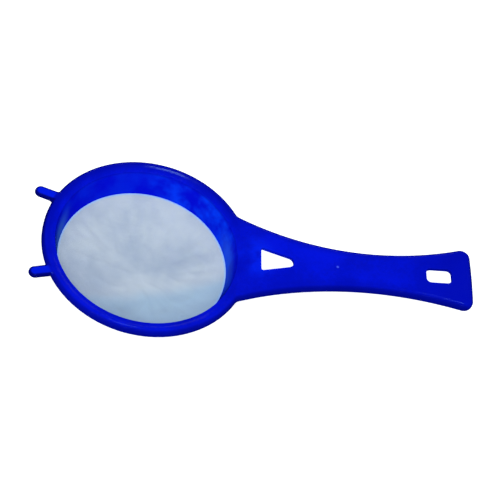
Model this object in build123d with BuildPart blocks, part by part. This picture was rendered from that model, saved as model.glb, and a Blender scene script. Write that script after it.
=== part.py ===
"""One-hand strainer: a moulded plastic frame that holds a shallow bag of fine woven mesh.

Millimetres, +Z up. The origin is the centre of the footprint, level with the lowest point of the mesh bag.
+X runs along the grip, away from the bowl. Radii and reaches are measured from the bowl's own upright axis.
"""

import math
import os

from build123d import *

# ---- bowl ----
RIM_R = 50.0  # outside of the rim
CREST_IN = 2.8  # rim's outside to the crest, where the flat top starts to fall into the mouth
RIM_W = 6.2  # rim's outside to its inner edge, where the wall starts
MOUTH_DROP = 1.6  # fall from the crest to that edge
SLOPE_SWELL = 0.35  # share of that fall reached half way, under a half for a swelling slope
HEM_DEPTH = 15.0  # rim top to the mesh's hem
WALL_LEAN = 2.9  # how far the wall comes in on its way down to the hem
WALL = 1.2  # bowl wall
FOOT_LIP = 0.5  # wall left under the mesh's hem
FOOT_SOFTEN = 0.6

# ---- rim and grip, one plate with a skirt round its edge ----
PLATE = 1.8
SKIRT_WALL = 1.8
SKIRT_DEPTH = 4.0  # top face to the skirt's lower edge
EDGE_R = 2.4  # rounding of the outer top edge
GRIP_L = 108.3  # rim's outside to the grip's end
GRIP_RISE = 6.8  # how far the grip's end stands over the rim
WAIST_OUT = 58.5  # rim's outside to the grip's narrowest place
WAIST_W = 21.7
SIDE_R = 163.0  # the grip's hollow sides
END_BOW = 0.5
END_CORNER_R = 4.6
ROOT_R = 3.5  # plan fillet between rim and grip

# ---- openings in the grip ----
WINDOW_OUT = 5.1  # rim's outside to the window's base
WINDOW_W = 13.5
WINDOW_TAPER = 15.4  # degrees, each side to the middle
WINDOW_TIP_R = 3.1
WINDOW_CORNER_R = 0.9
SLOT_MARGIN = 10.0  # hang slot's far end to the grip's end
SLOT_L = 12.3
SLOT_W = 8.2
SLOT_CORNER_R = 2.4

# ---- moulding gate mark on the grip ----
GATE_OUT = 42.4  # rim's outside to the mark
GATE_D = 1.8
GATE_H = 0.25

# ---- rest ears ----
EAR_W = 5.9
EAR_T = 2.7
EAR_DROP = 0.2  # rim top to ear top
EAR_STAND = 7.0  # rim's outside to the middle of an ear's round tip
EAR_SPREAD = 24.3  # degrees, from the bowl's centreline to that tip
EAR_TURN = 16.4  # degrees, from the centreline to the way an ear points
EAR_ROOT_R = 2.6
EAR_EDGE_R = 1.2
EAR_BURY = 1.0  # how deep the ears' own band lies in the rim's skirt

# ---- mesh ----
MESH_T = 0.4
MESH_SAG = 9.0  # how far the bag hangs below its hem
HEM_SKIN = 0.5  # wall left outside the groove that holds the hem
HEM_GAP = 0.1  # hem's edge to the end of its groove

# ---- places that follow, with radii and reaches from the bowl's axis ----
crest_r = RIM_R - CREST_IN
mouth_r = RIM_R - RIM_W
hem_r = mouth_r - WALL_LEAN
groove_r = hem_r + WALL - HEM_SKIN
foot_depth = HEM_DEPTH + MESH_T + FOOT_LIP
grip_reach = RIM_R + GRIP_L
waist_reach = RIM_R + WAIST_OUT
window_reach = RIM_R + WINDOW_OUT
slot_reach = grip_reach - SLOT_MARGIN - SLOT_L / 2  # to the slot's middle
gate_reach = RIM_R + GATE_OUT
ear_reach = RIM_R + EAR_STAND
ear_band_r = RIM_R - EAR_BURY

rim_top = HEM_DEPTH + MESH_SAG + MESH_T
ear_tip = ear_reach * math.cos(math.radians(EAR_SPREAD)) + EAR_W / 2
grip_tip = grip_reach + END_BOW
bowl_x = (ear_tip - grip_tip) / 2
bowl_axis = Axis((bowl_x, 0, 0), (0, 0, 1))
section = Plane(origin=(bowl_x, 0, rim_top), x_dir=(1, 0, 0), z_dir=(0, -1, 0))
plan = Plane(origin=(bowl_x, 0, rim_top), x_dir=(1, 0, 0), z_dir=(0, 0, 1))
tall = 2 * RIM_R  # longer than anything that it cuts
clear = PLATE  # how far a cutter runs past a face

rise_run = grip_reach - crest_r
rise_r = (rise_run**2 + GRIP_RISE**2) / (2 * GRIP_RISE)


def side(reach, inset=0.0):
    """Half the grip's width at a distance from the bowl's axis, less an even inset."""
    arc_r = SIDE_R + inset
    return WAIST_W / 2 - inset + arc_r - math.sqrt(arc_r**2 - (reach - waist_reach) ** 2)


def top_at(reach):
    """Height of the plate's top face over the rim's top."""
    return rise_r - math.sqrt(rise_r**2 - max(0.0, reach - crest_r) ** 2)


def band(upper, lower):
    """Side view of the plate between two copies of its top line, dropped by upper and by lower."""
    past, back = grip_reach + 10, -RIM_R - 10
    rise = top_at(past)
    with BuildSketch(section) as view:
        with BuildLine():
            Line((back, -lower), (back, -upper))
            Line((back, -upper), (crest_r, -upper))
            TangentArc((crest_r, -upper), (past, rise - upper), tangent=(1, 0))
            Line((past, rise - upper), (past, rise - lower))
            TangentArc((crest_r, -lower), (past, rise - lower), tangent=(1, 0))
            Line((crest_r, -lower), (back, -lower))
        make_face()
    return view.sketch


def rim_and_grip(inset=0.0):
    """Plan of the rim disc with the grip on it, its outline moved inwards by an inset."""
    disc_r, waist, end = RIM_R - inset, WAIST_W / 2 - inset, grip_reach - inset
    root = mouth_r - ROOT_R  # the sides start well inside the disc
    near_w, far_w = side(root, inset), side(end, inset)
    with BuildSketch(plan) as outline:
        Circle(disc_r)
        with BuildLine():
            ThreePointArc((root, near_w), (waist_reach, waist), (end, far_w))
            ThreePointArc((end, far_w), (end + END_BOW, 0), (end, -far_w))
            ThreePointArc((end, -far_w), (waist_reach, -waist), (root, -near_w))
            Line((root, -near_w), (root, near_w))
        make_face()
        fillet(outline.vertices().sort_by(Axis.X)[-2:], END_CORNER_R - inset)
        on_disc = outline.vertices().filter_by(lambda v: abs(math.hypot(v.X, v.Y) - disc_r) < 0.01)
        fillet(on_disc.filter_by(lambda v: v.X > 0), ROOT_R + inset)
    return outline.sketch


def ears_plan():
    """Plan of both rest ears on a disc that ends inside the rim's skirt."""
    spread, turn = math.radians(EAR_SPREAD), math.radians(EAR_TURN)
    with BuildSketch(plan.offset(-EAR_DROP - EAR_T)) as ears_outline:
        Circle(ear_band_r)
        for hand in (1, -1):
            tip = Vector(-math.cos(spread), hand * math.sin(spread)) * ear_reach
            middle = tip + Vector(math.cos(turn), -hand * math.sin(turn)) * (EAR_STAND / 2 + EAR_BURY)
            SlotCenterPoint(center=middle, point=tip, height=EAR_W)
        on_band = ears_outline.vertices().filter_by(lambda v: abs(math.hypot(v.X, v.Y) - ear_band_r) < 0.01)
        fillet(on_band.filter_by(lambda v: v.X < 0), EAR_ROOT_R)
    return ears_outline.sketch


# hollow under the plate, inside the skirt
with BuildPart() as pocket:
    extrude(rim_and_grip(SKIRT_WALL), amount=tall, both=True)
    extrude(band(PLATE, tall), amount=tall, both=True, mode=Mode.INTERSECT)

# both ears, with their edges rounded above and below
with BuildPart() as ears:
    extrude(ears_plan(), amount=EAR_T)
    fillet(ears.faces().filter_by(Axis.Z).edges(), min(EAR_EDGE_R, 0.45 * EAR_T))
    with BuildSketch(plan.offset(-tall)):
        Circle(RIM_R - SKIRT_WALL)
    extrude(amount=2 * tall, mode=Mode.SUBTRACT)

# wall of the bowl, from inside the plate down to its foot
with BuildPart() as wall:
    with BuildSketch(section):
        with BuildLine():
            Polyline(
                (mouth_r - WALL, -PLATE / 2),
                (mouth_r + WALL, -PLATE / 2),
                (hem_r + WALL, -HEM_DEPTH),
                (hem_r + WALL, -foot_depth),
                (hem_r - WALL, -foot_depth),
                close=True,
            )
        make_face()
    revolve(axis=bowl_axis)
    foot_edges = wall.edges().group_by(Axis.Z)[0].sort_by(SortBy.RADIUS)
    fillet(foot_edges[-1], FOOT_SOFTEN)

with BuildPart() as frame:
    extrude(rim_and_grip(), amount=tall, both=True)
    extrude(band(0, SKIRT_DEPTH), amount=tall, both=True, mode=Mode.INTERSECT)
    top_faces = frame.faces().filter_by(lambda face: face.normal_at().Z > 0.5)
    bend_x = bowl_x + crest_r
    fillet(top_faces.edges().filter_by(lambda edge: abs(edge.center().X - bend_x) > 0.01), EDGE_R)
    add(pocket.part, mode=Mode.SUBTRACT)
    add(wall.part)
    add(ears.part)

    # mouth: a soft slope inside the crest, then the tapered wall
    with BuildSketch(section):
        with BuildLine():
            half_way = ((crest_r + mouth_r) / 2, -MOUTH_DROP * SLOPE_SWELL)
            ThreePointArc((crest_r, 0), half_way, (mouth_r, -MOUTH_DROP))
            Polyline(
                (mouth_r, -MOUTH_DROP),
                (hem_r, -HEM_DEPTH),
                (hem_r, -foot_depth - clear),
                (0, -foot_depth - clear),
                (0, clear),
                (crest_r, clear),
                (crest_r, 0),
            )
        make_face()
    revolve(axis=bowl_axis, mode=Mode.SUBTRACT)

    # groove that the mesh's hem is moulded into, opening inwards
    with BuildSketch(section):
        with Locations(((hem_r - WALL + groove_r) / 2, -HEM_DEPTH - MESH_T / 2)):
            Rectangle(groove_r - hem_r + WALL, MESH_T)
    revolve(axis=bowl_axis, mode=Mode.SUBTRACT)

    # three-cornered window near the rim
    with BuildSketch(plan) as window:
        base_half = WINDOW_W / 2
        apex = window_reach + base_half / math.tan(math.radians(WINDOW_TAPER))
        with BuildLine():
            Polyline((window_reach, base_half), (apex, 0), (window_reach, -base_half), close=True)
        make_face()
        fillet(window.vertices().sort_by(Axis.X)[-1], WINDOW_TIP_R)
        fillet(window.vertices().sort_by(Axis.X)[:2], WINDOW_CORNER_R)
    extrude(amount=tall, both=True, mode=Mode.SUBTRACT)

    # hang slot near the end
    with BuildSketch(plan):
        with Locations((slot_reach, 0)):
            RectangleRounded(SLOT_L, SLOT_W, SLOT_CORNER_R)
    extrude(amount=tall, both=True, mode=Mode.SUBTRACT)

    # gate mark on top
    with BuildSketch(plan.offset(top_at(gate_reach) - PLATE / 2)):
        with Locations((gate_reach, 0)):
            Circle(GATE_D / 2)
    extrude(amount=PLATE / 2 + GATE_H)

frame.part.label = "strainer_frame"

# shallow round bag with a flat hem that fills the groove's height
with BuildPart() as mesh:
    bag_r = hem_r - MESH_T
    bag_curve = (bag_r**2 + MESH_SAG**2) / (2 * MESH_SAG)
    hem_end = groove_r - HEM_GAP
    inner, outer = -HEM_DEPTH, -HEM_DEPTH - MESH_T
    with BuildSketch(section):
        with BuildLine():
            RadiusArc((bag_r, inner), (0, inner - MESH_SAG), bag_curve)
            Line((0, inner - MESH_SAG), (0, outer - MESH_SAG))
            RadiusArc((bag_r, outer), (0, outer - MESH_SAG), bag_curve)
            Polyline((bag_r, outer), (hem_end, outer), (hem_end, inner), (bag_r, inner))
        make_face()
    revolve(axis=bowl_axis)

mesh.part.label = "strainer_mesh"

os.makedirs("parts", exist_ok=True)
for piece in (frame.part, mesh.part):
    export_step(piece, f"parts/{piece.label}.step")
    print(piece.label, round(piece.volume), "mm3")
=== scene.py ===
import math

import bpy
from mathutils import Matrix, Vector, noise


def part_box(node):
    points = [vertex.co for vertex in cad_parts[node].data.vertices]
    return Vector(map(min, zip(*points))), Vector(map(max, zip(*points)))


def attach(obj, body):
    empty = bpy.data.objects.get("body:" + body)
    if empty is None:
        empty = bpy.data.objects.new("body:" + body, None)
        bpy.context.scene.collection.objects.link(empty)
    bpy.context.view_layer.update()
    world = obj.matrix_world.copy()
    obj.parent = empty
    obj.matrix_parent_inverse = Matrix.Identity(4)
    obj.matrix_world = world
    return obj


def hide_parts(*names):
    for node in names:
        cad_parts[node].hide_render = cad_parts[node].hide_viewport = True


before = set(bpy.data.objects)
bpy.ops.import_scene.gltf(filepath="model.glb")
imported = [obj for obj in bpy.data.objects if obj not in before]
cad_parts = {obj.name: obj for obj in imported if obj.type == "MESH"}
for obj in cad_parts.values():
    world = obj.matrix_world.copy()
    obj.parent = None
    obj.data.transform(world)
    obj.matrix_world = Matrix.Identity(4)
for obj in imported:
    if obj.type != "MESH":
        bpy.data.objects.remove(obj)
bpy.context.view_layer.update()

bl_info = {
    "name": "Hand strainer",
    "version": (1, 0, 0),
    "blender": (4, 5, 0),
    "location": "3D View > Sidebar > Strainer",
    "description": "Finishes, woven mesh bag and studio for a one-hand strainer",
    "category": "Object",
}

# ---- places read from the frame, in metres ----
MOULDING = "strainer_frame"
BAG_SOLID = "strainer_mesh"
HEM_LOW, HEM_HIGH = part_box(BAG_SOLID)
MOULDING_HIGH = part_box(MOULDING)[1]
BOWL_X = (HEM_LOW.x + HEM_HIGH.x) / 2
BOWL_Y = (HEM_LOW.y + HEM_HIGH.y) / 2
HEM_R = (HEM_HIGH.x - HEM_LOW.x) / 2  # the bag's solid, hem and all
HEM_TOP = HEM_HIGH.z
RIM_R = MOULDING_HIGH.y
RIM_TOP = max(v.co.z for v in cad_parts[MOULDING].data.vertices if v.co.x < BOWL_X)
END_REACH = MOULDING_HIGH.x - BOWL_X

# ---- more sizes of the moulding, in metres; x, y and reach start at the bowl's axis ----
MOUTH_R = 0.0440  # the rim's tone starts here, just outside the mouth's edge
WALL_END = 0.0462  # the wall's tone fades out from here to the crest
CREST_R = 0.0475  # just outside the rim's highest ring
WAIST_REACH = RIM_R + 0.0585
WAIST_HALF = 0.01085
SIDE_R = 0.163  # radius of the grip's hollow sides
ROOT_REACH = 0.040  # from here on, the plate is grip
ROOT_LIGHT_SPOT = 0.0525  # a painted pool of light between rim and window
GATE_REACH = 0.0924
GATE_R = 0.0009
EAR_TIP_X, EAR_TIP_Y = -0.05195, 0.02346  # middle of an ear's round tip
EAR_TURN = math.radians(16.4)
EAR_HALF = 0.00295
EAR_ROOT_X = -0.030  # an ear's band ends here, inside the rim
WALL_LEAN = 0.193  # how far the bowl's wall leans out for each metre up
WALL_MIDDLE = 0.0397  # reach of the middle of the wall's thickness, carried down to the floor
HEM_BAND_R = HEM_R - 0.0006  # where the cloth goes into the wall; the cloth is coloured light blue from a little inside here
HEM_SLACK = 0.00003  # keeps the cloth off the groove's faces


# ---- nodes written as expressions ----
class Wire:
    """One node socket that can be used like a number."""

    def __init__(self, finish, socket):
        self.finish = finish
        self.socket = socket

    def sum_of(self, operation, *values):
        sockets = dict(enumerate(values))
        return self.finish.node("ShaderNodeMath", {"operation": operation}, sockets)

    def __add__(self, other):
        return self.sum_of("ADD", self, other)

    def __sub__(self, other):
        return self.sum_of("SUBTRACT", self, other)

    def __rsub__(self, other):
        return self.sum_of("SUBTRACT", other, self)

    def __mul__(self, other):
        return self.sum_of("MULTIPLY", self, other)

    def __truediv__(self, other):
        return self.sum_of("DIVIDE", self, other)

    def __rtruediv__(self, other):
        return self.sum_of("DIVIDE", other, self)

    def __pow__(self, other):
        return self.sum_of("POWER", self, other)

    def __abs__(self):
        return self.sum_of("ABSOLUTE", self)

    __radd__ = __add__
    __rmul__ = __mul__

    def fraction(self):
        return self.sum_of("FRACT", self)

    def whole(self):
        return self.sum_of("FLOOR", self)

    def wave(self):
        return self.sum_of("SINE", self)

    def root(self):
        return self.sum_of("SQRT", self)

    def at_least(self, other):
        return self.sum_of("MAXIMUM", self, other)

    def at_most(self, other):
        return self.sum_of("MINIMUM", self, other)

    def step(self, low, high, to_low=0.0, to_high=1.0):
        """Smooth change from to_low to to_high as this goes from low to high."""
        settings = {"interpolation_type": "SMOOTHSTEP"}
        sockets = {0: self, 1: low, 2: high, 3: to_low, 4: to_high}
        return self.finish.node("ShaderNodeMapRange", settings, sockets)


class Finish:
    """A material whose nodes are added one call at a time."""

    def __init__(self, name):
        self.material = bpy.data.materials.new(name)
        self.material.use_nodes = True
        self.tree = self.material.node_tree
        self.tree.nodes.clear()

    def node(self, kind, settings=None, sockets=None, out=0):
        """Adds a node, sets it up, fills its sockets and returns one of its outputs."""
        made = self.tree.nodes.new(kind)
        for name, value in (settings or {}).items():
            setattr(made, name, value)
        for name, value in (sockets or {}).items():
            if isinstance(value, Wire):
                self.tree.links.new(value.socket, made.inputs[name])
            else:
                made.inputs[name].default_value = value
        return Wire(self, made.outputs[out])

    def place(self):
        """Object coordinates, measured from the bowl's axis."""
        coords = self.node("ShaderNodeTexCoord", out="Object")
        sockets = {"Vector": coords, "Location": (-BOWL_X, -BOWL_Y, 0)}
        return self.node("ShaderNodeMapping", {}, sockets)

    def split(self, vector):
        parts = self.node("ShaderNodeSeparateXYZ", {}, {0: vector}).socket.node.outputs
        return [Wire(self, part) for part in parts]

    def clouds(self, place, per_metre, detail, roughness=0.5):
        """Soft noise, about 0.5 on average."""
        sockets = {"Vector": place, "Scale": per_metre, "Detail": detail, "Roughness": roughness}
        return self.node("ShaderNodeTexNoise", {}, sockets)

    def stretched(self, place, turn, stretch):
        """The same place turned about Z and stretched, for marks that run one way."""
        sockets = {"Vector": place, "Rotation": (0, 0, turn), "Scale": (stretch, 1, 1)}
        return self.node("ShaderNodeMapping", {"vector_type": "POINT"}, sockets)

    def blend(self, factor, first, second):
        """Mix of two colours."""
        sockets = {0: factor, 6: first, 7: second}
        return self.node("ShaderNodeMix", {"data_type": "RGBA"}, sockets, out=2)

    def bump(self, height, distance):
        sockets = {"Height": height, "Distance": distance, "Strength": 1.0}
        return self.node("ShaderNodeBump", {}, sockets)

    def close(self, **sockets):
        """Ends the tree in one Principled shader."""
        named = {name.replace("_", " "): value for name, value in sockets.items()}
        shader = self.node("ShaderNodeBsdfPrincipled", {}, named)
        end = self.tree.nodes.new("ShaderNodeOutputMaterial")
        self.tree.links.new(shader.socket, end.inputs["Surface"])
        return self.material


# ---- moulded plastic ----
# the plastic's tones, each as shares of its colour
PLASTIC_TONES = {
    # painted shade along the outer edges
    "edge": (0.5, 0.20, 0.24, 1),
    # painted shade on the rim and at the grip's far end
    "deep": (0.9, 0.52, 0.58, 1),
    "mottled": (1, 0.72, 0.74, 1),
    "plain": (1, 1, 1, 1),
    # painted light at the grip's root and on the ears
    "painted_light": (1.0, 2.4, 1.22, 1),
    # painted light glowing through the thin wall
    "wall": (1.0, 0.60, 1.12, 1),
    # painted patches of light glowing through the wall
    "glow": (1.0, 8.5, 1.60, 1),
    # painted reflection of the white cloth
    "pale": (70.0, 24.0, 1.05, 1),
}
GATE_TONE = (0.05, 0.09, 0.75, 1)


def inside_grip(x, y):
    """How far a place lies inside the grip's outline, seen from above."""
    hollow = SIDE_R - (SIDE_R**2 - (x - WAIST_REACH) ** 2).root()
    inside = WAIST_HALF + hollow - abs(y)
    return inside.at_most(x - ROOT_REACH).at_most(END_REACH - x)


def inside_ear(x, y):
    """How far a place lies inside the nearer ear's outline, seen from above."""
    along = x - EAR_TIP_X
    aside = abs(y) - EAR_TIP_Y
    past_tip = (aside * math.sin(EAR_TURN) - along * math.cos(EAR_TURN)).at_least(0.0)
    off_middle = along * math.sin(EAR_TURN) + aside * math.cos(EAR_TURN)
    return (EAR_HALF - (past_tip**2 + off_middle**2).root()).at_most(EAR_ROOT_X - x)


def plate_tone(finish, tones, place, in_grip, ear):
    """Colour of rim, grip and ears: mottled, with painted shade in the rim and far end and painted light
    at the root and on the ears.
    """
    x, y, _ = finish.split(place)
    reach = (x**2 + y**2).root()
    cloudy = finish.clouds(place, 55, 4, 0.55)
    flecks = finish.clouds(place, 700, 2, 0.6)
    depth = (cloudy * 0.75 + flecks * 0.25).step(0.36, 0.64)
    shade = finish.blend(depth, tones["mottled"], tones["plain"])

    # painted shade on the rim's band, stronger towards the far side, and at the grip's far end
    off_grip = in_grip.step(0.0, 0.006, 1.0, 0.0)
    rim_shade_by_side = y.step(-0.045, 0.030, 0.2, 1.0)
    rim_shade = reach.step(MOUTH_R, CREST_R) * off_grip * rim_shade_by_side
    end_shade = x.step(0.118, 0.148) * 0.8
    shade = finish.blend(rim_shade.at_least(end_shade) * (1 - ear), shade, tones["deep"])

    # a painted pool of light at the grip's root, broken by the mottling, then painted light on the ears
    root = ((x - ROOT_LIGHT_SPOT) ** 2 + (y * 0.75) ** 2).root().step(0.003, 0.012, 0.9, 0.0)
    shade = finish.blend(root * cloudy.step(0.30, 0.55), shade, tones["painted_light"])
    return finish.blend(ear * 0.4, shade, tones["painted_light"])


def wall_tone(finish, tones, place, thin_wall, shade):
    """Lays the bowl wall's colours over a shade: saturated blue with painted light glowing through it,
    in patches, and a painted reflection of the cloth low at the ends.
    """
    x, y, z = finish.split(place)
    reach = (x**2 + y**2).root()
    inner = (reach - z * WALL_LEAN).step(WALL_MIDDLE - 0.0003, WALL_MIDDLE + 0.0003, 1.0, 0.0)
    # painted light glowing through the thin wall, with painted patches of brighter glow, strongest
    # towards the grip and on the wall's inner face
    shade = finish.blend(thin_wall, shade, tones["wall"])

    patches = finish.clouds(place, 62, 3.5, 0.60).step(0.36, 0.62)
    glow_towards_grip = (x * 0.87 + y * 0.5).step(0.014, 0.040, 0.22, 1.0)
    glow = thin_wall * patches * glow_towards_grip * (0.15 + inner * 0.85)
    shade = finish.blend(glow, shade, tones["glow"])

    # painted reflection of the white cloth, low on the wall's inner face at the ears' end and at the
    # grip's end
    reflection_ear_side = x.step(-0.0415, -0.0360, 0.9, 0.0)
    reflection_grip_side = x.step(0.0360, 0.0420, 0.0, 0.40)
    low_down = z.step(RIM_TOP - 0.012, RIM_TOP - 0.003, 1.0, 0.0)
    pale = thin_wall * inner * reflection_ear_side.at_least(reflection_grip_side) * low_down
    return finish.blend(pale, shade, tones["pale"])


def moulded_plastic(sizes):
    """Glossy blue moulding with flow marks and scratches; its colour holds painted light glowing through
    the thin wall, painted shade along the edges, on the rim and at the grip's end, painted light at the
    root and on the ears, and a painted reflection of the cloth low on the wall.
    """
    finish = Finish("moulded_blue_plastic")
    place = finish.place()
    x, y, z = finish.split(place)
    reach = (x**2 + y**2).root()
    tones = {
        name: tuple(share * part for share, part in zip(shares, sizes.plastic_colour))
        for name, shares in PLASTIC_TONES.items()
    }

    ear = x.step(-0.036, -0.032, 1.0, 0.0) * reach.step(RIM_R - 0.0004, RIM_R + 0.0008)
    under_rim = z.step(RIM_TOP - 0.0035, RIM_TOP - 0.0010, 1.0, 0.0)
    thin_wall = under_rim * reach.step(WALL_END, CREST_R, 1.0, 0.0)
    in_grip = inside_grip(x, y)
    shade = plate_tone(finish, tones, place, in_grip, ear)
    shade = wall_tone(finish, tones, place, thin_wall, shade)
    # painted shade along the outer edges, stronger on the far side and on the ears, none on the thin
    # wall
    inside = (RIM_R - reach).at_least(in_grip).at_least(inside_ear(x, y))
    edge_shade_by_side = y.step(-0.012, 0.008, 0.45, 1.0)
    outline = inside.step(0.0005, 0.0017, 1.0, 0.0) * edge_shade_by_side.at_least(ear)
    shade = finish.blend(outline * (1 - thin_wall), shade, tones["edge"])

    from_gate = ((x - GATE_REACH) ** 2 + y**2).root()
    vestige = from_gate.step(GATE_R - 0.0005, GATE_R, 1.0, 0.0)
    shade = finish.blend(vestige * 0.8, shade, GATE_TONE)
    flow = (from_gate * 620 + finish.clouds(place, 60, 2) * 9).wave()
    flow = flow * from_gate.step(0.004, 0.045, 1.0, 0.0)

    sink_waves = finish.clouds(place, 95, 1.5, 0.4)
    dimples = finish.clouds(place, 420, 1, 0.5)
    scratch_one = finish.clouds(finish.stretched(place, 0.5, 0.03), 2600, 1, 0.3)
    scratch_two = finish.clouds(finish.stretched(place, -0.9, 0.025), 2300, 1, 0.3)
    handled = x.step(0.05, 0.09, 0.3, 1.0)
    scratches = (scratch_one.step(0.69, 0.76) + scratch_two.step(0.70, 0.77)) * handled
    height = sink_waves + dimples * 0.10 + flow * 0.035 - scratches * 0.02

    smudges = finish.clouds(place, 40, 5, 0.6).step(0.42, 0.70)
    rough = sizes.plastic_roughness + smudges * 0.08 + scratches * 0.10 + vestige * 0.2
    return finish.close(
        Base_Color=shade,
        Roughness=rough,
        IOR=1.49,
        Specular_IOR_Level=sizes.plastic_shine,
        Normal=finish.bump(height, sizes.plastic_wave),
    )


# ---- woven nylon ----
# painted shadow of the near wall on the cloth towards -Y, tinted by painted blue light from the wall, in
# cooler and lighter patches
NEAR_SHADOW_COOL, NEAR_SHADOW_LIGHTER = (0.35, 0.49, 0.59, 1), (0.41, 0.57, 0.665, 1)
# light blue of the cloth next to the wall
HEM_BAND_TONE = (0.40, 0.66, 1.0, 1)
THREAD_LOW = 0.35  # height of a thread where it dips under another
THREAD_DEPTH = 0.3  # share of a thread's width that the weave stands up


def woven_nylon(sizes):
    """Plain weave of fine white thread: over and under, open between the threads."""
    finish = Finish("woven_white_nylon")
    place = finish.place()
    x, y, _ = finish.split(place)
    drift = (finish.clouds(place, 70, 2, 0.5) - 0.5) * sizes.thread_drift
    across = (x + drift) / sizes.thread_pitch
    along = (y + drift) / sizes.thread_pitch
    half = 0.5 * sizes.thread_width / sizes.thread_pitch
    inner, outer = half * 0.65, half * 1.35

    warp = abs(across.fraction() - 0.5).step(inner, outer, 1.0, 0.0)
    weft = abs(along.fraction() - 0.5).step(inner, outer, 1.0, 0.0)
    warp_over = (along * math.pi + across.whole() * math.pi).wave() * 0.5 + 0.5
    weft_over = 0.5 - (across * math.pi + along.whole() * math.pi).wave() * 0.5
    warp_top = warp * (THREAD_LOW + warp_over * (1 - THREAD_LOW))
    weft_top = weft * (THREAD_LOW + weft_over * (1 - THREAD_LOW))
    height = warp_top.at_least(weft_top)
    cover = warp.at_least(weft)

    cloudy = finish.clouds(place, 34, 4, 0.55)
    slubs = finish.clouds(finish.stretched(place, 0, 0.08), 1500, 1)
    slubs = slubs + finish.clouds(finish.stretched(place, math.pi / 2, 0.08), 1500, 1)
    tone = (cloudy * 0.86 + slubs * 0.07).step(0.36, 0.62)
    light = tuple(sizes.thread_colour)
    cool = tuple(sizes.thread_shade)
    # painted shade in the weave: darker in the gaps and where a thread dips under another
    gap = tuple(0.72 * part for part in cool[:3]) + (1,)
    shade = finish.blend(height.step(0.0, 0.8), gap, finish.blend(tone, cool, light))
    # painted shadow of the near wall on the cloth towards -Y, tinted by painted blue light from the wall
    near_wall_shadow = (x * 0.25 - y + cloudy * 0.014).step(0.017, 0.028) * 0.9
    shade = finish.blend(near_wall_shadow, shade, finish.blend(tone, NEAR_SHADOW_COOL, NEAR_SHADOW_LIGHTER))
    hem_band = (x**2 + y**2).root().step(HEM_BAND_R - 0.0011, HEM_BAND_R - 0.0003, 0.0, 0.85)
    shade = finish.blend(hem_band, shade, HEM_BAND_TONE)
    return finish.close(
        Base_Color=shade,
        Roughness=0.42 + cloudy * 0.2,
        IOR=1.53,
        Specular_IOR_Level=0.35,
        Sheen_Weight=0.15,
        Alpha=sizes.gap_fill + cover * (1 - sizes.gap_fill),
        Normal=finish.bump(height, sizes.thread_width * THREAD_DEPTH),
    )


# ---- floor ----
def lit_table(sizes):
    """Plain pale floor, faintly lit from below."""
    finish = Finish("pale_floor")
    tone = (sizes.floor_tone,) * 3 + (1,)
    return finish.close(
        Base_Color=tone,
        Roughness=0.9,
        Specular_IOR_Level=0.0,
        Emission_Color=tone,
        Emission_Strength=sizes.floor_glow,
    )


# ---- sizes and colours that a user may change ----


class StrainerPlastic(bpy.types.PropertyGroup):
    plastic_colour: bpy.props.FloatVectorProperty(
        name="Colour",
        description="Colour of the moulding",
        default=(0.0006, 0.0062, 0.60, 1),
        subtype="COLOR",
        size=4,
        min=0,
        max=1,
    )
    plastic_roughness: bpy.props.FloatProperty(
        name="Roughness",
        description="Roughness where nothing has touched it",
        default=0.10,
        min=0,
        max=1,
    )
    plastic_shine: bpy.props.FloatProperty(
        name="Shine", description="Strength of the gloss", default=0.06, min=0, max=1
    )
    plastic_wave: bpy.props.FloatProperty(
        name="Sink waves",
        description="Height of the soft waves in the surface",
        default=0.00022,
        unit="LENGTH",
        precision=5,
    )


class StrainerBag(bpy.types.PropertyGroup):
    cloth: bpy.props.FloatProperty(
        name="Cloth",
        description="Thickness of the woven cloth",
        default=0.0003,
        unit="LENGTH",
        precision=5,
    )
    hem_width: bpy.props.FloatProperty(
        name="Hem",
        description="Flat width of the hem, most of it inside the wall",
        default=0.0010,
        unit="LENGTH",
        precision=5,
    )
    slack: bpy.props.FloatProperty(
        name="Slack",
        description="Scale of the soft folds, which reach about 0.6 of it up and 0.5 down",
        default=0.0016,
        unit="LENGTH",
        precision=5,
    )
    thread_pitch: bpy.props.FloatProperty(
        name="Pitch",
        description="From one thread to the next",
        default=0.00036,
        unit="LENGTH",
        precision=5,
    )
    thread_width: bpy.props.FloatProperty(
        name="Thread", description="Width of a thread", default=0.00018, unit="LENGTH", precision=5
    )
    thread_drift: bpy.props.FloatProperty(
        name="Drift",
        description="How far the threads wander",
        default=0.0012,
        unit="LENGTH",
        precision=5,
    )
    gap_fill: bpy.props.FloatProperty(
        name="Gap fill",
        description="Share of light that the gaps between threads stop",
        default=0.5,
        min=0,
        max=1,
    )
    thread_colour: bpy.props.FloatVectorProperty(
        name="Thread colour",
        description="Lighter patches",
        default=(0.68, 0.745, 0.75, 1),
        subtype="COLOR",
        size=4,
        min=0,
        max=1,
    )
    thread_shade: bpy.props.FloatVectorProperty(
        name="Thread shade",
        description="Cooler patches",
        default=(0.485, 0.565, 0.635, 1),
        subtype="COLOR",
        size=4,
        min=0,
        max=1,
    )


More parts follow.
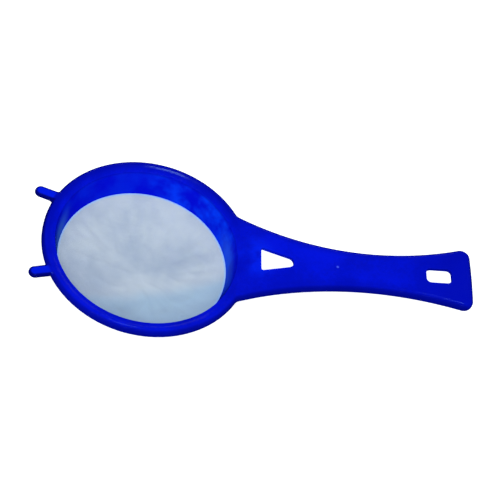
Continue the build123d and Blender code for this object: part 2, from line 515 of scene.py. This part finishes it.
class StrainerStage(bpy.types.PropertyGroup):
    turn: bpy.props.FloatProperty(
        name="Turn",
        description="Camera's turn about the upright",
        default=math.radians(-16.8),
        subtype="ANGLE",
    )
    rise: bpy.props.FloatProperty(
        name="Rise",
        description="Camera's angle above the floor",
        default=math.radians(51.9),
        subtype="ANGLE",
    )
    roll: bpy.props.FloatProperty(
        name="Roll",
        description="Camera's turn about its own line of sight",
        default=math.radians(20.9),
        subtype="ANGLE",
    )
    distance: bpy.props.FloatProperty(
        name="Distance",
        description="Camera to the point that it looks at",
        default=0.9278,
        unit="LENGTH",
    )
    aim_reach: bpy.props.FloatProperty(
        name="Aim along",
        description="Bowl axis to that point, along the grip",
        default=0.0495,
        unit="LENGTH",
    )
    aim_side: bpy.props.FloatProperty(
        name="Aim aside",
        description="Bowl axis to that point, sideways",
        default=0.0042,
        unit="LENGTH",
    )
    lens: bpy.props.FloatProperty(name="Lens", description="Focal length in millimetres", default=139.7)
    key: bpy.props.FloatProperty(
        name="Key light",
        description="Power of the large soft light in front and above",
        default=5.8,
        unit="POWER",
    )
    glint: bpy.props.FloatProperty(
        name="Glint light",
        description="Power of the small light overhead that draws the glints",
        default=3.2,
        unit="POWER",
    )
    edge: bpy.props.FloatProperty(
        name="Edge light", description="Power of the strip light behind", default=0.5, unit="POWER"
    )
    floor_tone: bpy.props.FloatProperty(
        name="Floor", description="Brightness of the floor", default=0.92, min=0, max=1
    )
    floor_glow: bpy.props.FloatProperty(
        name="Floor glow", description="How much the floor shines by itself", default=0.75, min=0
    )
    sky: bpy.props.FloatProperty(
        name="Sky", description="Strength of the light all round", default=0.50, min=0
    )


# ---- modelling helpers ----
def only(piece):
    """Leaves one object selected and active."""
    bpy.ops.object.select_all(action="DESELECT")
    piece.select_set(True)
    bpy.context.view_layer.objects.active = piece


def settle(piece):
    """Puts a piece's place into its mesh."""
    only(piece)
    bpy.ops.object.transform_apply(location=True, rotation=True, scale=True)


def add_modifier(piece, kind, **settings):
    """Adds a modifier and applies it."""
    modifier = piece.modifiers.new(kind.title(), kind)
    for name, value in settings.items():
        setattr(modifier, name, value)
    only(piece)
    bpy.ops.object.modifier_apply(modifier=modifier.name)


def dress(piece, material):
    """Gives a piece one material all over."""
    piece.data.materials.clear()
    piece.data.materials.append(material)


# ---- mesh bag ----
BAG_RINGS = 44
BAG_SPOKES = 192
FOLDS_END = HEM_R - 0.0012  # no fold reaches further out
# folds per metre, roughly, and their shares of the slack
WIDE_PER_METRE, WIDE_SHARE = 46, 0.65
CREASE_PER_METRE, CREASE_SHARE = 78, 0.45
SMALL_PER_METRE, SMALL_SHARE = 210, 0.6


def bag_line(sizes):
    """Half section of the cloth's middle, from the hem's edge to the lowest point."""
    hem_z = HEM_TOP - sizes.cloth / 2 - HEM_SLACK
    low_z = sizes.cloth / 2 + HEM_SLACK
    bag_r = HEM_R - sizes.hem_width
    hem = [(HEM_R - HEM_SLACK, hem_z), (HEM_R - sizes.hem_width / 2, hem_z)]
    sag = hem_z - low_z
    outward = [1 - ring / BAG_RINGS for ring in range(BAG_RINGS + 1)]
    return hem + [(bag_r * share, hem_z - sag * (1 - share**2)) for share in outward]


def folds(x, y, slack):
    """Height of the cloth's soft folds at a place, none at the hem."""
    reach = math.hypot(x, y) / FOLDS_END
    if reach >= 1:
        return 0.0
    turn = math.atan2(y, x)
    hold = min(1.0, (1 - reach) * 5)
    calm = hold * hold * (3 - 2 * hold)
    wide = noise.noise(Vector((x * WIDE_PER_METRE, y * WIDE_PER_METRE, 2.7)))
    crease_at = Vector((x * CREASE_PER_METRE + 5, y * CREASE_PER_METRE - 3, 8.1))
    creased = 0.5 - abs(noise.noise(crease_at)) * 1.6
    small = noise.noise(Vector((x * SMALL_PER_METRE, y * SMALL_PER_METRE, 4.4))) * 0.25
    round_the_hem = Vector((math.cos(turn) * 7, math.sin(turn) * 7, reach * 1.5))
    pucker = noise.noise(round_the_hem) * reach**3 * 0.9
    mixed = WIDE_SHARE * wide + CREASE_SHARE * creased + small * SMALL_SHARE + pucker
    return slack * calm * mixed


class STRAINER_OT_mesh_bag(bpy.types.Operator):
    """Models the woven bag, from its hem in the wall's groove to the floor"""

    bl_idname = "strainer.mesh_bag"
    bl_label = "Mesh bag"

    def execute(self, context):
        sizes = context.scene.strainer_bag
        bpy.ops.object.select_all(action="DESELECT")
        bpy.ops.mesh.primitive_circle_add(vertices=3, radius=HEM_R, location=(0, 0, 0))
        bag = context.active_object
        bag.name = bag.data.name = "mesh_bag"
        line = bag_line(sizes)
        # the circle makes way for the half section that is spun into the bag
        bag.data.clear_geometry()
        points = [(BOWL_X + r, BOWL_Y, z) for r, z in line]
        bag.data.from_pydata(points, [(i, i + 1) for i in range(len(points) - 1)], [])
        only(bag)
        bpy.ops.object.mode_set(mode="EDIT")
        bpy.ops.mesh.select_all(action="SELECT")
        bpy.ops.mesh.spin(
            steps=BAG_SPOKES,
            angle=2 * math.pi,
            center=(BOWL_X, BOWL_Y, 0),
            axis=(0, 0, 1),
            use_normal_flip=False,
        )
        bpy.ops.mesh.select_all(action="SELECT")
        bpy.ops.mesh.remove_doubles(threshold=0.00001)
        bpy.ops.mesh.normals_make_consistent(inside=False)
        bpy.ops.object.mode_set(mode="OBJECT")
        for vertex in bag.data.vertices:
            vertex.co.z += folds(vertex.co.x - BOWL_X, vertex.co.y - BOWL_Y, sizes.slack)
        # the lowest fold comes back up to the lowest point of the half section
        low = min(vertex.co.z for vertex in bag.data.vertices)
        hem_z = line[0][1]
        squeeze = (hem_z - line[-1][1]) / (hem_z - low)
        for vertex in bag.data.vertices:
            vertex.co.z = hem_z - (hem_z - vertex.co.z) * squeeze
        add_modifier(bag, "SOLIDIFY", thickness=sizes.cloth, offset=0.0, use_even_offset=True)
        only(bag)
        bpy.ops.object.mode_set(mode="EDIT")
        bpy.ops.mesh.select_all(action="SELECT")
        bpy.ops.mesh.normals_make_consistent(inside=False)
        bpy.ops.object.mode_set(mode="OBJECT")
        bpy.ops.object.shade_smooth_by_angle(angle=math.radians(40))
        settle(bag)
        dress(bag, woven_nylon(sizes))
        bag.visible_glossy = False
        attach(bag, "root")
        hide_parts(BAG_SOLID)
        return {"FINISHED"}


# ---- moulding ----
class STRAINER_OT_moulding_finish(bpy.types.Operator):
    """Gives the moulded rim, wall, ears and grip their plastic"""

    bl_idname = "strainer.moulding_finish"
    bl_label = "Moulding finish"

    def execute(self, context):
        dress(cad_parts[MOULDING], moulded_plastic(context.scene.strainer_plastic))
        return {"FINISHED"}


# ---- studio ----
# sizes of the lights and their places from the middle of the bowl's mouth, in metres
KEY_SIZE, KEY_PLACE = (0.7, 0.5), Vector((-0.12, -0.52, 0.76))
GLINT_SIZE, GLINT_PLACE = (0.18, 0.18), Vector((0.02, 0.10, 1.2))
EDGE_SIZE, EDGE_PLACE = (0.9, 0.12), Vector((0.25, 1.1, 0.55))
GLINT_COLOUR = (0.38, 0.66, 1.0)
SKY_COLOUR = (0.92, 0.95, 1.0, 1)
FLOOR_WIDTH = 8.0


def soft_light(name, power, size, place, aim):
    """Rectangular soft light at a place, turned towards a point."""
    bpy.ops.object.light_add(type="AREA", location=place)
    lamp = bpy.context.active_object
    lamp.name = name
    lamp.data.shape = "RECTANGLE"
    lamp.data.size, lamp.data.size_y = size
    lamp.data.energy = power
    lamp.rotation_mode = "QUATERNION"
    lamp.rotation_quaternion = (Vector(aim) - Vector(place)).to_track_quat("-Z", "Y")
    return lamp


class STRAINER_OT_studio(bpy.types.Operator):
    """Sets the floor, the soft lights and the camera"""

    bl_idname = "strainer.studio"
    bl_label = "Studio"

    def execute(self, context):
        sizes = context.scene.strainer_stage
        scene = context.scene
        scene.view_settings.view_transform = "Standard"
        scene.world = bpy.data.worlds.new("studio")
        scene.world.use_nodes = True
        scene.world.cycles_visibility.glossy = False
        sky = scene.world.node_tree.nodes["Background"]
        sky.inputs["Color"].default_value = SKY_COLOUR
        sky.inputs["Strength"].default_value = sizes.sky

        bpy.ops.object.select_all(action="DESELECT")
        bpy.ops.mesh.primitive_plane_add(size=FLOOR_WIDTH, location=(0, 0, 0))
        floor = context.active_object
        floor.name = floor.data.name = "floor"
        dress(floor, lit_table(sizes))
        floor.visible_glossy = False
        floor.visible_diffuse = False

        aim = Vector((BOWL_X + sizes.aim_reach, BOWL_Y + sizes.aim_side, RIM_TOP))
        bowl = Vector((BOWL_X, BOWL_Y, RIM_TOP))
        key = soft_light("light_key", sizes.key, KEY_SIZE, bowl + KEY_PLACE, bowl)
        key.visible_glossy = False
        glint = soft_light("light_glint", sizes.glint, GLINT_SIZE, bowl + GLINT_PLACE, bowl)
        glint.data.color = GLINT_COLOUR
        soft_light("light_edge", sizes.edge, EDGE_SIZE, bowl + EDGE_PLACE, aim)

        back = Vector((
            math.sin(sizes.turn) * math.cos(sizes.rise),
            -math.cos(sizes.turn) * math.cos(sizes.rise),
            math.sin(sizes.rise),
        ))
        bpy.ops.object.camera_add(location=aim + back * sizes.distance)
        camera = context.active_object
        camera.name = "camera"
        camera.rotation_mode = "QUATERNION"
        upright = Matrix.Rotation(sizes.turn, 3, "Z") @ Matrix.Rotation(math.pi / 2 - sizes.rise, 3, "X")
        camera.rotation_quaternion = (upright @ Matrix.Rotation(sizes.roll, 3, "Z")).to_quaternion()
        camera.data.sensor_width = 36
        camera.data.lens = sizes.lens
        camera.data.clip_start = 0.01
        camera.data.clip_end = 50
        scene.camera = camera
        return {"FINISHED"}


# ---- panel and add-on ----
class STRAINER_PT_panel(bpy.types.Panel):
    """Lists the strainer's pieces and their sizes"""

    bl_idname = "STRAINER_PT_panel"
    bl_label = "Strainer"
    bl_space_type = "VIEW_3D"
    bl_region_type = "UI"
    bl_category = "Strainer"

    def draw(self, context):
        for title, group, operator in STEPS:
            box = self.layout.box()
            box.label(text=title)
            settings = getattr(context.scene, group)
            for name in settings.bl_rna.properties.keys():
                if name not in ("rna_type", "name"):
                    box.prop(settings, name)
            box.operator(operator)


STEPS = (
    ("Moulding", "strainer_plastic", "strainer.moulding_finish"),
    ("Mesh bag", "strainer_bag", "strainer.mesh_bag"),
    ("Studio", "strainer_stage", "strainer.studio"),
)
GROUPS = {
    "strainer_plastic": StrainerPlastic,
    "strainer_bag": StrainerBag,
    "strainer_stage": StrainerStage,
}
CLASSES = (
    *GROUPS.values(),
    STRAINER_OT_moulding_finish,
    STRAINER_OT_mesh_bag,
    STRAINER_OT_studio,
    STRAINER_PT_panel,
)


def register():
    for each in CLASSES:
        bpy.utils.register_class(each)
    for name, group in GROUPS.items():
        setattr(bpy.types.Scene, name, bpy.props.PointerProperty(type=group))


def unregister():
    for name in GROUPS:
        delattr(bpy.types.Scene, name)
    for each in reversed(CLASSES):
        bpy.utils.unregister_class(each)


def main():
    register()
    bpy.ops.strainer.moulding_finish()
    bpy.ops.strainer.mesh_bag()
    bpy.ops.strainer.studio()


if __name__ == "__main__":
    main()
